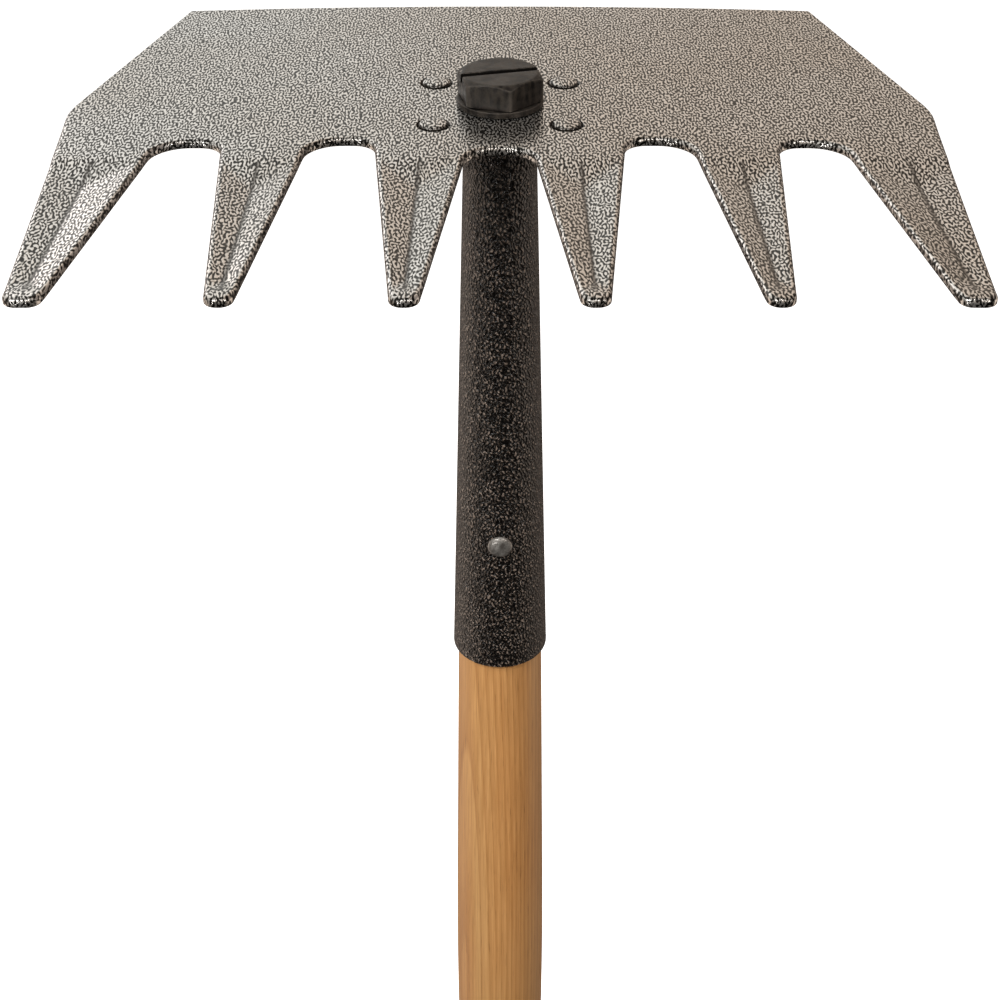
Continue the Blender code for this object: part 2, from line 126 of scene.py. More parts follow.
SOCKET_ROUND = 0.0006
SOCKET_STEPS = 20
SCREW_R = 0.0079
THREAD_PITCH = 0.0254 / 11
THREAD_DEPTH = 0.0012
THREAD_STEPS = 8  # rows to a pitch
THREAD_STEEPNESS = 1.3  # above 1 leaves a flat at the bottom of each valley
PLAIN_SHANK = 0.004  # between the head and the thread
SCREW_END_CHAMFER = 0.0015
HEX_FLATS = 0.0284
HEX_TURN = math.radians(13.6)
HEX_TOP_R = 0.01363
HEX_CHAMFER = 0.0016
HEX_EDGE = 0.0005
HEX_BRINK_DROP = 1.3  # how much more the rounded brink falls than a quarter circle
HEX_CORNER_SHARPNESS = 46
HEX_STEPS = 144
SLOT = 0.003
SLOT_LIP = 0.0003
SLOT_REACH = 0.02
SLOT_SHADE_FADE = (0.00006, 0.00002)  # the painted shade in the slot fades between these distances from the slot's walls
SLOT_ACROSS = (-math.sin(HEX_TURN), math.cos(HEX_TURN))
WASHER_R = 0.0158
WASHER_BORE_R = 0.0083
WASHER_SPLIT = 0.002
WASHER_SPLIT_TURN = math.radians(60)
WASHER_ROUND = 0.0004
PIN_DEPTH = 0.186
PIN_HEAD_R = 0.0051
PIN_SHANK_R = 0.003
PIN_HEAD_RIM = 0.0003
HANDLE_FIT = 0.0004
HANDLE_TOP_CHAMFER = 0.002
# Exposed wood: depth below the ground face and radius.
HANDLE_SWELL = (
    (0.288, 0.0190), (0.351, 0.0201), (0.420, 0.0212), (0.489, 0.0216),
    (0.700, 0.0210), (0.980, 0.0198), (1.180, 0.0196),
)
BUTT_R = 0.0200
BUTT_FLAT_R = 0.010
BUTT_ROUND = 0.012

# ---- how finely the meshes are made ----
FINE_STEPS = 96
SMALL_STEPS = 48
GRID = 0.00125  # spacing of the points on the teeth
COARSE_GRID = 0.006  # and on the rest of the blade
OUTLINE_STEP = 0.002
HOE_EDGE_POINTS = 24
CREASE_POINTS = 110
CREASE_ROWS = (-0.0014, -0.0009, -0.0005, -0.0002, 0.0002, 0.0005, 0.0009, 0.0014)
CREASE_SHADE_REACH = 0.0007  # how far the painted shade in a crease reaches
FOLD_EDGE = 0.0003  # a fold less deep than this gets no painted shade
FACET_DEPTH = 0.0006  # at this depth a facet is fully part of a fold
FACET_MARGIN = 0.004  # how far inside a tooth's inner side its facet may start
SLIVER = 4e-11  # twice the area of a triangle that rounding alone can make
SAME_POINT = 1e-8
WELD_DISTANCE = 1e-7
SHARP_DEG = 35
SLOT_SHARP_DEG = 28

# ---- camera ----
CAMERA_PLACE = (0, -0.6032, 0.2465)  # from the middle of the ground face
CAMERA_LENS = 63
CAMERA_DOWN_DEG = 35


# ---- meshes ----
def new_object(name, data):
    """An object with this data, in the scene."""
    obj = bpy.data.objects.new(name, data)
    bpy.context.scene.collection.objects.link(obj)
    return obj


def closed_mesh(name, vertices, faces):
    """A mesh whose points are welded and whose faces all look outwards."""
    mesh = bpy.data.meshes.new(name)
    mesh.from_pydata([tuple(map(float, v)) for v in vertices], [], faces)
    bm = bmesh.new()
    bm.from_mesh(mesh)
    bmesh.ops.remove_doubles(bm, verts=bm.verts, dist=WELD_DISTANCE)
    bmesh.ops.recalc_face_normals(bm, faces=bm.faces)
    bm.to_mesh(mesh)
    bm.free()
    return mesh


def add_piece(name, vertices, faces, material, body, node):
    """A closed mesh that stands for a CAD node and rides on that node's body."""
    mesh = closed_mesh(name, vertices, faces)
    mesh.shade_smooth()
    mesh.set_sharp_from_angle(angle=math.radians(SHARP_DEG))
    mesh.materials.append(material)
    obj = new_object(name, mesh)
    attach(obj, body)
    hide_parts(node)
    return obj


def strips(first, second):
    """Quads between two equally long closed rows of vertex indices."""
    count = len(first)
    return [(first[i], first[(i + 1) % count], second[(i + 1) % count], second[i]) for i in range(count)]


def walls(rows):
    """Quads between each of these rows and the next."""
    return [quad for pair in zip(rows, rows[1:]) for quad in strips(*pair)]


def next_row(vertices, count):
    """Indices that the next so many vertices will have."""
    return list(range(len(vertices), len(vertices) + count))


def turned(profile, steps=FINE_STEPS, closed=False):
    """Vertices and faces of a profile of (radius, z) turned about Z.

    A radius of 0 closes an end, and closed joins the profile's last point to its first.
    """
    vertices = []
    rows = []
    for radius, z in profile:
        if radius == 0:
            rows.append([len(vertices)] * steps)
            vertices.append((0, 0, z))
            continue
        rows.append(next_row(vertices, steps))
        for i in range(steps):
            angle = math.tau * i / steps
            vertices.append((radius * math.cos(angle), radius * math.sin(angle), z))
    pairs = list(zip(rows, rows[1:]))
    if closed:
        pairs.append((rows[-1], rows[0]))
    faces = []
    for upper, lower in pairs:
        for quad in strips(upper, lower):
            corners = tuple(dict.fromkeys(quad))
            if len(corners) > 2:
                faces.append(corners)
    return vertices, faces


def arc(centre, radius, start_deg, end_deg, count):
    """Points of an arc in a profile's plane, as (radius, z)."""
    points = []
    for i in range(count + 1):
        angle = math.radians(start_deg + (end_deg - start_deg) * i / count)
        points.append((centre[0] + radius * math.cos(angle), centre[1] + radius * math.sin(angle)))
    return points


def smooth_profile(points, per_span=8):
    """A profile through these points on a Catmull-Rom curve."""
    rows = [points[0], *points, points[-1]]
    curve = []
    for a, b, c, d in zip(rows, rows[1:], rows[2:], rows[3:]):
        a, b, c, d = (np.array(p) for p in (a, b, c, d))
        for i in range(per_span):
            t = i / per_span
            curve.append(0.5 * (2 * b + (c - a) * t + (2 * a - 5 * b + 4 * c - d) * t**2
                                + (3 * b - a - 3 * c + d) * t**3))
    curve.append(np.array(points[-1]))
    return [(float(r), float(z)) for r, z in curve]


# ---- outlines and plates ----
def fillet(before, corner, after, radius, step_deg=7):
    """Points of the round that replaces this corner."""
    a = (Vector(before) - Vector(corner)).normalized()
    b = (Vector(after) - Vector(corner)).normalized()
    half = a.angle(b) / 2
    centre = Vector(corner) + (a + b).normalized() * (radius / math.sin(half))
    start = Vector(corner) + a * (radius / math.tan(half)) - centre
    turn = (math.pi - 2 * half) * (1 if a.cross(b) < 0 else -1)
    steps = max(3, round(abs(math.degrees(turn)) / step_deg))
    points = []
    for i in range(steps + 1):
        angle = turn * i / steps
        points.append((centre.x + start.x * math.cos(angle) - start.y * math.sin(angle),
                       centre.y + start.x * math.sin(angle) + start.y * math.cos(angle)))
    return points


def rounded(corners, longest):
    """Closed outline from corners given as (x, y, radius), with no edge longer than this."""
    points = []
    for i, (x, y, radius) in enumerate(corners):
        if radius == 0:
            points.append((x, y))
            continue
        after = corners[(i + 1) % len(corners)][:2]
        points += fillet(corners[i - 1][:2], (x, y), after, radius)
    outline = []
    for i, start in enumerate(points):
        end = points[(i + 1) % len(points)]
        pieces = max(1, math.ceil(math.dist(start, end) / longest))
        for k in range(pieces):
            share = k / pieces
            x = start[0] + (end[0] - start[0]) * share
            y = start[1] + (end[1] - start[1]) * share
            outline.append((x, y))
    return np.array(outline)


def blade_outline():
    """The blade's outline, anticlockwise from the centre gullet's right half."""
    centre_y, centre_x, centre_r = CENTRE_GULLET
    right = [(centre_x, centre_y, centre_r)]
    for (inner_tip, outer_tip), gullet in zip(TOOTH_TIPS, (INNER_GULLET, OUTER_GULLET, None)):
        right += [(inner_tip, TIP_Y, TIP_RADIUS), (outer_tip, TIP_Y, TIP_RADIUS)]
        if gullet:
            top_y, near_x, near_r, far_x, far_r = gullet
            right += [(near_x, top_y, near_r), (far_x, top_y, far_r)]
    right += [SHOULDER, (HOE_HALF_WIDTH, HOE_CORNER_Y, HOE_CORNER_RADIUS)]
    crown = []
    for i in range(1, HOE_EDGE_POINTS):
        x = HOE_HALF_WIDTH * (1 - i / (HOE_EDGE_POINTS / 2))
        crown.append((x, HOE_CORNER_Y + HOE_CROWN * (1 - (x / HOE_HALF_WIDTH) ** 2), 0))
    left = [(-x, y, radius) for x, y, radius in reversed(right)]
    return rounded(right + crown + left, OUTLINE_STEP)


def circle(x, y, radius, steps):
    """Closed ring of points round (x, y)."""
    angles = np.arange(steps) * math.tau / steps
    return np.stack([x + radius * np.cos(angles), y + radius * np.sin(angles)], 1)


def inset(outline, distance):
    """The outline moved this far to its left, which is inwards on an anticlockwise one."""
    ahead = np.roll(outline, -1, 0) - outline
    ahead /= np.linalg.norm(ahead, axis=1)[:, None]
    normal = np.stack([-ahead[:, 1], ahead[:, 0]], 1)
    before = np.roll(normal, 1, 0)
    reach = 1 + (normal * before).sum(1)
    return outline + (normal + before) * (distance / reach)[:, None]


def inside(points, outline):
    """Which of the points lie inside a closed outline."""
    x, y = points[:, 0], points[:, 1]
    result = np.zeros(len(points), bool)
    for (x0, y0), (x1, y1) in zip(outline, np.roll(outline, -1, 0)):
        crosses = (y0 > y) != (y1 > y)
        with np.errstate(divide="ignore", invalid="ignore"):
            result ^= crosses & (x < (x1 - x0) * (y - y0) / (y1 - y0) + x0)
    return result


def grid(low, high, step):
    """Evenly spaced points over a rectangle."""
    xs = np.arange(low[0], high[0], step)
    ys = np.arange(low[1], high[1], step)
    return np.stack(np.meshgrid(xs, ys), -1).reshape(-1, 2)


def fill(rings, interior):
    """Triangles over the first ring's inside, but not over the inside of the others."""
    points = np.concatenate([*rings, interior])
    edges = []
    start = 0
    for ring in rings:
        edges += [(start + i, start + (i + 1) % len(ring)) for i in range(len(ring))]
        start += len(ring)
    made = delaunay_2d_cdt([Vector(p) for p in points], edges, [], 0, SAME_POINT, True)
    triangles = np.array([[made[3][i][0] for i in face] for face in made[2]])
    corners = points[triangles]
    middles = corners.mean(1)
    first = corners[:, 1] - corners[:, 0]
    second = corners[:, 2] - corners[:, 0]
    kept = abs(first[:, 0] * second[:, 1] - first[:, 1] * second[:, 0]) > SLIVER
    kept &= inside(middles, rings[0])
    for ring in rings[1:]:
        kept &= ~inside(middles, ring)
    return triangles[kept].tolist()


def plate(stacks, interior, top, bottom):
    """Vertices and faces of a plate whose edges are stacks of rings, from its top face to its bottom face.

    The first stack is the outline and the others are holes. top and bottom give the two faces' heights.
    """
    vertices = []
    faces = []
    ends = ([], [])
    for stack in stacks:
        rows = []
        for ring, z in stack:
            rows.append(next_row(vertices, len(ring)))
            vertices += [(x, y, height) for (x, y), height in zip(ring, z)]
        faces += walls(rows)
        ends[0].append(rows[0])
        ends[1].append(rows[-1])
    for side, surface in enumerate((top, bottom)):
        rings = [stack[-side][0] for stack in stacks]
        known = [index for row in ends[side] for index in row]
        known += next_row(vertices, len(interior))
        heights = surface(interior[:, 0], interior[:, 1])
        vertices += [(x, y, z) for (x, y), z in zip(interior, heights)]
        faces += [tuple(known[i] for i in triangle) for triangle in fill(rings, interior)]
    return vertices, faces


def soft_min(a, b, softness):
    """The smaller of the two, with a round where one takes over from the other."""
    share = np.clip(0.5 + 0.5 * (b - a) / softness, 0, 1)
    return b + (a - b) * share - softness * share * (1 - share)


def fold_share(y):
    """How far along the folds this lies: 0 at their root and 1 at their tip."""
    return np.clip((FOLD_ROOT_Y - y) / (FOLD_ROOT_Y - FOLD_TIP_Y), 0, 1)


def fold_depth(x, y):
    """How far the pressed V of the nearest tooth sinks the plate at these points."""
    x = abs(x)
    total = np.zeros_like(x)
    down = np.clip((GULLET_Y - y) / (GULLET_Y - TIP_Y), 0, 1)
    along = fold_share(y)
    ends = soft_min((FOLD_ROOT_Y - y) / FOLD_ROOT_RUN, (y - FOLD_TIP_Y) / FOLD_TIP_RUN, FOLD_SOFTNESS)
    deepest = FOLD_ROOT_DEPTH + (FOLD_TIP_DEPTH - FOLD_ROOT_DEPTH) * along
    for (inner, outer), (root_x, tip_x) in zip(TOOTH_SIDES, CREASE_X):
        low = inner[0] + (inner[1] - inner[0]) * down
        high = outer[0] + (outer[1] - outer[0]) * down
        crease = root_x + (tip_x - root_x) * along
        width = np.where(x < crease, crease - low, high - crease)
        away = np.sqrt((x - crease) ** 2 + CREASE_ROUND**2) - CREASE_ROUND
        share = soft_min(1 - away / width, ends, FOLD_SOFTNESS)
        total = np.maximum(total, deepest * np.maximum(share, 0))
    return total


def rim(outline, thickness, top_round, bottom_round, surface=None, steps=7):
    """Stack of rings round a plate's edge, rounded at both faces.

    top_round has a radius for each point of the outline. surface gives how far the plate sinks.
    """
    places = [(top_round + RIM_SUPPORT, 0 * top_round)]
    for i in range(steps + 1):
        angle = math.pi / 2 * i / steps
        places.append((top_round * (1 - math.sin(angle)), top_round * (1 - math.cos(angle))))
    for i in range(5):
        angle = math.pi / 8 * i
        depth = thickness - bottom_round * (1 - math.sin(angle))
        places.append((bottom_round * (1 - math.cos(angle)), depth))
    places.append((bottom_round + RIM_SUPPORT, thickness))
    stack = []
    for distance, depth in places:
        ring = inset(outline, distance)
        sunk = surface(ring[:, 0], ring[:, 1]) if surface else 0
        stack.append((ring, np.zeros(len(ring)) - depth - sunk))
    return stack


def blade_rounding(outline):
    """Radius of the ground face's edge at each point of the outline."""
    low, high = RIM_CHANGE
    share = np.clip((outline[:, 1] - low) / (high - low), 0, 1)
    share = share * share * (3 - 2 * share)
    return RIM_TEETH + (RIM_HOE - RIM_TEETH) * share


def raised(stack, z):
    """The stack moved up by z."""
    return [(ring, heights + z) for ring, heights in stack]


def hole_stack(x, y, places, steps):
    """Stack of rings down a round hole; the places are (radius, z)."""
    return [(circle(x, y, radius, steps), np.full(steps, z)) for radius, z in places]


def crease_points():
    """Close rows of points along each crease, so that the fold is crisp there."""
    along = np.linspace(0, 1, CREASE_POINTS)
    y = FOLD_ROOT_Y + (FOLD_TIP_Y - FOLD_ROOT_Y) * along
    rows = []
    for root_x, tip_x in CREASE_X:
        x = root_x + (tip_x - root_x) * along
        for side in (-1, 1):
            rows += [np.stack([side * (x + off), y], 1) for off in CREASE_ROWS]
    return np.concatenate(rows)


def crease_distance(points):
    """How far each point lies from the nearest crease."""
    along = (FOLD_ROOT_Y - points[:, 1]) / (FOLD_ROOT_Y - FOLD_TIP_Y)
    nearest = np.full(len(points), 1.0)
    for root_x, tip_x in CREASE_X:
        x = root_x + (tip_x - root_x) * np.clip(along, 0, 1)
        nearest = np.minimum(nearest, abs(abs(points[:, 0]) - x))
    beyond = np.maximum(np.maximum(-along, along - 1), 0) * (FOLD_ROOT_Y - FOLD_TIP_Y)
    return np.hypot(nearest, beyond)


def blade_interior(outline):
    """Points inside the blade's faces: close together on the teeth, and in rows along the creases."""
    teeth = grid((-BLADE_REACH, TIP_Y), (BLADE_REACH, FOLDS_Y), GRID)
    rest = grid((-BLADE_REACH, FOLDS_Y), (BLADE_REACH, HOE_CORNER_Y + HOE_CROWN), COARSE_GRID)
    points = np.concatenate([teeth, rest])
    points = points[crease_distance(points) > CREASE_ROWS[-1] + GRID / 3]
    points = np.concatenate([points, crease_points()])
    margin = blade_rounding(outline) + RIM_SUPPORT + GRID / 2
    points = points[inside(points, inset(outline, margin))]
    for x, y in [*RIVET_PLACES, (0, 0)]:
        points = points[np.hypot(points[:, 0] - x, points[:, 1] - y) > THROUGH_HOLE_R + HOLE_MARGIN]
    return points


def lipped_mouth(radius, end_deg):
    """Top of a hole's profile: a rounded lip down to this radius."""
    centre = (radius + HOLE_LIP, HEAD_Z - HOLE_LIP)
    return [(radius + 2 * HOLE_LIP, HEAD_Z)] + arc(centre, HOLE_LIP, 90, end_deg, 3)


def blade(material):
    """Stamped plate with rounded edges, pressed teeth, and a ring pressed in round each rivet."""
    outline = blade_outline()
    edge = rim(outline, BLADE_THICKNESS, blade_rounding(outline), RIM_BOTTOM, fold_depth)
    stacks = [raised(edge, HEAD_Z)]
    bottom_z = HEAD_Z - BLADE_THICKNESS
    seat_r, mouth_r, seat_depth = RIVET_SEAT
    radius = RIVET_SHANK_R + GAP
    places = lipped_mouth(mouth_r, 140)
    places += [(seat_r, HEAD_Z - seat_depth), (radius, HEAD_Z - seat_depth)]
    places += [(radius, bottom_z), (radius + 2 * HOLE_LIP, bottom_z)]
    for x, y in RIVET_PLACES:
        stacks.append(hole_stack(x, y, places, SMALL_STEPS))
    radius = THROUGH_HOLE_R
    places = lipped_mouth(radius, 180) + [(radius, bottom_z), (radius + 2 * HOLE_LIP, bottom_z)]
    stacks.append(hole_stack(0, 0, places, SMALL_STEPS))
    vertices, faces = plate(
        stacks, blade_interior(outline),
        lambda x, y: HEAD_Z - fold_depth(x, y),
        lambda x, y: bottom_z - fold_depth(x, y),
    )
    obj = add_piece("blade_plate", vertices, faces, material, "head", "blade")
    mark_folds(obj.data)


def mark_folds(mesh):
    """Attributes for the paint: crease, painted shade along the bottom of each fold's V, and inner_facet,
    nearer the blade's middle.
    """
    places = np.zeros(len(mesh.vertices) * 3)
    mesh.vertices.foreach_get("co", places)
    places = places.reshape(-1, 3)
    x, y, z = places.T
    on_face = z > HEAD_Z - BLADE_THICKNESS
    depth = fold_depth(x, y)
    # painted shade along the crease of each fold that is deep enough, on the ground face
    near = np.exp(-((crease_distance(places) / CREASE_SHADE_REACH) ** 2))
    painted_shade = near * on_face * (depth > FOLD_EDGE)
    mesh.attributes.new("crease", "FLOAT", "POINT").data.foreach_set("value", painted_shade)
    facet = np.zeros(len(places))
    for (inner, _), (root_x, tip_x) in zip(TOOTH_SIDES, CREASE_X):
        crease = root_x + (tip_x - root_x) * fold_share(y)
        within = (abs(x) < crease) & (abs(x) > inner[0] - FACET_MARGIN)
        facet = np.maximum(facet, within * np.clip(depth / FACET_DEPTH, 0, 1))
    mesh.attributes.new("inner_facet", "FLOAT", "POINT").data.foreach_set("value", facet * on_face)


def bracket(material):
    """Pressed flange with a drawn collar; its bottom face runs on into the collar's fillet."""
    top = HEAD_Z - BLADE_THICKNESS - GAP
    bottom = top - BRACKET_THICKNESS
    half_x, half_y = BRACKET_HALF
    corners = [(half_x, -half_y), (half_x, half_y), (-half_x, half_y), (-half_x, -half_y)]
    outline = rounded([(x, y, BRACKET_CORNER_R) for x, y in corners], BRACKET_OUTLINE_STEP)
    near_round, far_round = BRACKET_ROUNDS
    edge = rim(outline, BRACKET_THICKNESS, np.full(len(outline), near_round), far_round)
    stacks = [raised(edge, top)]
    hole = RIVET_SHANK_R + GAP
    for x, y in RIVET_PLACES:
        stacks.append(hole_stack(x, y, [(hole, top), (hole, bottom)], SMALL_STEPS))
    socket_r = SOCKET_TOP_R + GAP + COLLAR_CLEARANCE
    rim_round = COLLAR_RIM_ROUND
    low = HEAD_Z - COLLAR_DEPTH
    places = [(THROUGH_HOLE_R, top), (THROUGH_HOLE_R, bottom), (socket_r, bottom)]
    places += arc((socket_r + rim_round, low + rim_round), rim_round, 180, 270, 3)
    places += arc((COLLAR_R - rim_round, low + rim_round), rim_round, 270, 360, 3)
    places += arc((COLLAR_R + COLLAR_FILLET, bottom - COLLAR_FILLET), COLLAR_FILLET, 180, 90, 6)
    stacks.append(hole_stack(0, 0, places, FINE_STEPS))
    no_points = np.zeros((0, 2))
    vertices, faces = plate(stacks, no_points, lambda x, y: top + 0 * x, lambda x, y: bottom + 0 * x)
    add_piece("bracket_pressing", vertices, faces, material, "head", "head_bracket")


def rivets(material):
    """Rivets with a low crown on the ground face and a high dome under the bracket."""
    seat = HEAD_Z - BLADE_THICKNESS - BRACKET_THICKNESS - 2 * GAP
    top = HEAD_Z + RIVET_CROWN_HEIGHT
    foot = HEAD_Z - RIVET_SEAT[2] + GAP / 2
    profile = [(radius, top + rise) for radius, rise in RIVET_MIDDLE]
    profile += arc((RIVET_CROWN_R - RIVET_SHOULDER, top - RIVET_SHOULDER), RIVET_SHOULDER, 88, 4, 7)
    profile += [(RIVET_CROWN_R, foot), (RIVET_SHANK_R, foot)]
    profile += [(RIVET_SHANK_R, seat), (RIVET_DOME_SEAT_R, seat)]
    for i in range(9):
        angle = math.radians(10 + 80 * i / 8)
        profile.append((RIVET_DOME_R * math.cos(angle), seat - RIVET_DOME_HEIGHT * math.sin(angle)))
    profile[-1] = (0, profile[-1][1])
    vertices, faces = turned(profile, SMALL_STEPS)
    for number, (x, y) in enumerate(RIVET_PLACES, 1):
        moved = [(vx + x, vy + y, vz) for vx, vy, vz in vertices]
        add_piece(f"blade_rivet_{number}", moved, faces, material, "head", f"rivet_{number}")


def washer(material):
    """Split lock washer: a rounded bar bent nearly full circle, its two ends a little apart."""
    low, high = (corner.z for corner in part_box("lock_washer"))
    edge = WASHER_ROUND
    section = arc((WASHER_R - edge, high - edge), edge, 90, 0, 3)
    section += arc((WASHER_R - edge, low + edge), edge, 0, -90, 3)
    section += arc((WASHER_BORE_R + edge, low + edge), edge, 270, 180, 3)
    section += arc((WASHER_BORE_R + edge, high - edge), edge, 180, 90, 3)
    half_split = WASHER_SPLIT / 2 / WASHER_R
    vertices = []
    rows = []
    for i in range(FINE_STEPS + 1):
        angle = WASHER_SPLIT_TURN + half_split + (math.tau - 2 * half_split) * i / FINE_STEPS
        rows.append(next_row(vertices, len(section)))
        vertices += [(r * math.cos(angle), r * math.sin(angle), z) for r, z in section]
    faces = [tuple(rows[0]), tuple(rows[-1]), *walls(rows)]
    add_piece("split_washer", vertices, faces, material, "head", "lock_washer")


def hex_radius(angle):
    """Distance from the axis to the hexagon's side, with its corners a little rounded."""
    total = 0
    for i in range(6):
        facing = math.cos(angle - HEX_TURN - math.tau * i / 6)
        total += max(facing, 0) ** HEX_CORNER_SHARPNESS
    return HEX_FLATS / 2 * total ** (-1 / HEX_CORNER_SHARPNESS)


def head_rows(angles, top, under):
    """Rows of points round the screw's head, from near the middle of its top to its underside."""
    slope = HEX_CHAMFER / (HEX_FLATS / math.sqrt(3) - HEX_TOP_R)
    edge = HEX_EDGE
    rows = []
    for share in (0.35, 0.7, 0.93):
        rows.append([(HEX_TOP_R * share, a, top) for a in angles])
    for out, drop in ((-0.0002, 0.00001), (0.0001, 0.0001), (0.0004, 0.00027)):
        rows.append([(HEX_TOP_R + out, a, top - drop) for a in angles])
    for share in (0.5, 1):
        row = []
        for a in angles:
            radius = HEX_TOP_R + (hex_radius(a) - edge - HEX_TOP_R) * share
            row.append((radius, a, top - slope * (radius - HEX_TOP_R)))
        rows.append(row)
    for tilt_deg in (30, 60, 90):
        tilt = math.radians(tilt_deg)
        row = []
        for a in angles:
            radius = hex_radius(a)
            brink = top - slope * (radius - edge - HEX_TOP_R)
            z = brink - edge * (1 - math.cos(tilt)) * HEX_BRINK_DROP
            row.append((radius - edge * (1 - math.sin(tilt)), a, z))
        rows.append(row)
    rows.append([(hex_radius(a), a, under + edge) for a in angles])
    rows.append([(hex_radius(a) - edge * 0.3, a, under + edge * 0.3) for a in angles])
    rows.append([(hex_radius(a) - edge, a, under) for a in angles])
    return rows


def shank_rows(angles, under, end):
    """Rows of points down the shank: a helical thread that runs in and out over one pitch."""
    rows = [[(SCREW_R, a, under) for a in angles]]
    count = int((under - PLAIN_SHANK - end) / THREAD_PITCH * THREAD_STEPS)
    for k in range(count):
        z = under - PLAIN_SHANK - k * THREAD_PITCH / THREAD_STEPS
        run_in = min(1, k / THREAD_STEPS, (count - 1 - k) / THREAD_STEPS)
        row = []
        for a in angles:
            turn = (z / THREAD_PITCH - a / math.tau) % 1
            valley = 1 - abs(2 * turn - 1)
            row.append((SCREW_R - THREAD_DEPTH * min(valley * THREAD_STEEPNESS, 1) * run_in, a, z))
        rows.append(row)
    rows.append([(SCREW_R - SCREW_END_CHAMFER, a, end) for a in angles])
    return rows


def cap_screw(material):
    """Hex-head screw with a chamfered top, a slot right across it and a threaded shank."""
    low, high = (corner.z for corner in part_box("cap_screw"))
    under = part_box("lock_washer")[1].z + GAP
    steps = HEX_STEPS
    angles = [math.tau * i / steps for i in range(steps)]
    vertices = [(0, 0, high)]
    rows = []
    for row in head_rows(angles, high, under) + shank_rows(angles, under, low):
        rows.append(next_row(vertices, steps))
        vertices += [(r * math.cos(a), r * math.sin(a), z) for r, a, z in row]
    faces = [(0, rows[0][i], rows[0][(i + 1) % steps]) for i in range(steps)]
    faces += [*walls(rows), tuple(rows[-1])]
    obj = add_piece("hex_screw", vertices, faces, material, "cap_screw", "cap_screw")
    cut_slot(obj, high)


def slot_cutter(top):
    """Bar that fills the slot and the chamfers of its lips."""
    lip = SLOT_LIP
    half = SLOT / 2
    section = [(-half, -SLOT), (half, -SLOT), (half, -lip), (half + 3 * lip, 2 * lip),
               (-half - 3 * lip, 2 * lip), (-half, -lip)]
    along = Vector((math.cos(HEX_TURN), math.sin(HEX_TURN), 0))
    across = Vector((-along.y, along.x, 0))
    vertices = []
    for reach in (-SLOT_REACH, SLOT_REACH):
        vertices += [along * reach + across * y + Vector((0, 0, top + z)) for y, z in section]
    count = len(section)
    faces = [tuple(range(count)), tuple(reversed(range(count, 2 * count)))]
    faces += strips(list(range(count)), list(range(count, 2 * count)))
    return new_object("slot_cutter", closed_mesh("slot_cutter", vertices, faces))


def cut_slot(obj, top):
    """Cut the slot right across the head."""
    cutter = slot_cutter(top)
    cut = obj.modifiers.new("Slot", "BOOLEAN")
    cut.operation = "DIFFERENCE"
    cut.object = cutter
    bpy.context.view_layer.update()
    evaluated = obj.evaluated_get(bpy.context.evaluated_depsgraph_get())
    result = bpy.data.meshes.new_from_object(evaluated)
    obj.modifiers.remove(cut)
    obj.data = result
    result.shade_smooth()
    result.set_sharp_from_angle(angle=math.radians(SLOT_SHARP_DEG))
    bpy.data.objects.remove(cutter, do_unlink=True)


def socket_radius(depth):
    """Outer radius of the tapered socket at this depth."""
    share = (depth - SOCKET_TOP_DEPTH) / (SOCKET_MOUTH_DEPTH - SOCKET_TOP_DEPTH)
    return SOCKET_TOP_R + (SOCKET_MOUTH_R - SOCKET_TOP_R) * share


def socket(material):
    """Tapered steel tube with rounded ends."""
    top = HEAD_Z - SOCKET_TOP_DEPTH
    mouth = HEAD_Z - SOCKET_MOUTH_DEPTH
    edge = SOCKET_ROUND
    inner_mouth = SOCKET_MOUTH_R - SOCKET_WALL
    profile = [(SOCKET_TOP_R - SOCKET_WALL, top)]
    profile += arc((SOCKET_TOP_R - edge, top - edge), edge, 90, 0, 3)
    for i in range(1, SOCKET_STEPS):
        depth = SOCKET_TOP_DEPTH + (SOCKET_MOUTH_DEPTH - SOCKET_TOP_DEPTH) * i / SOCKET_STEPS
        profile.append((socket_radius(depth), HEAD_Z - depth))
    profile += arc((SOCKET_MOUTH_R - edge, mouth + edge), edge, 0, -90, 4)
    profile += arc((inner_mouth + edge / 2, mouth + edge / 2), edge / 2, 270, 180, 2)
    vertices, faces = turned(profile, closed=True)
    add_piece("socket_tube", vertices, faces, material, "handle_assembly", "socket")


def handle(material):
    """Turned ash handle: a taper inside the socket, a swell below it, and a rounded butt."""
    low, top = (corner.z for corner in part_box("handle"))
    inner = []
    for z in (top - HANDLE_TOP_CHAMFER, HEAD_Z - SOCKET_MOUTH_DEPTH):
        inner.append((socket_radius(HEAD_Z - z) - SOCKET_WALL - HANDLE_FIT, z))
    swell = [inner[1]] + [(radius, HEAD_Z - depth) for depth, radius in HANDLE_SWELL]
    swell.append((BUTT_R, low + 2 * BUTT_ROUND))
    butt = []
    for i in range(13):
        angle = math.radians(90 * i / 12)
        radius = BUTT_FLAT_R + (BUTT_R - BUTT_FLAT_R) * math.cos(angle)
        butt.append((radius, low + BUTT_ROUND * (1 - math.sin(angle))))
    end = [(0, top), (inner[0][0] - HANDLE_TOP_CHAMFER, top), inner[0]]
    vertices, faces = turned([*end, *smooth_profile(swell), *butt, (0, low)])
    add_piece("ash_handle", vertices, faces, material, "handle_assembly", "handle")


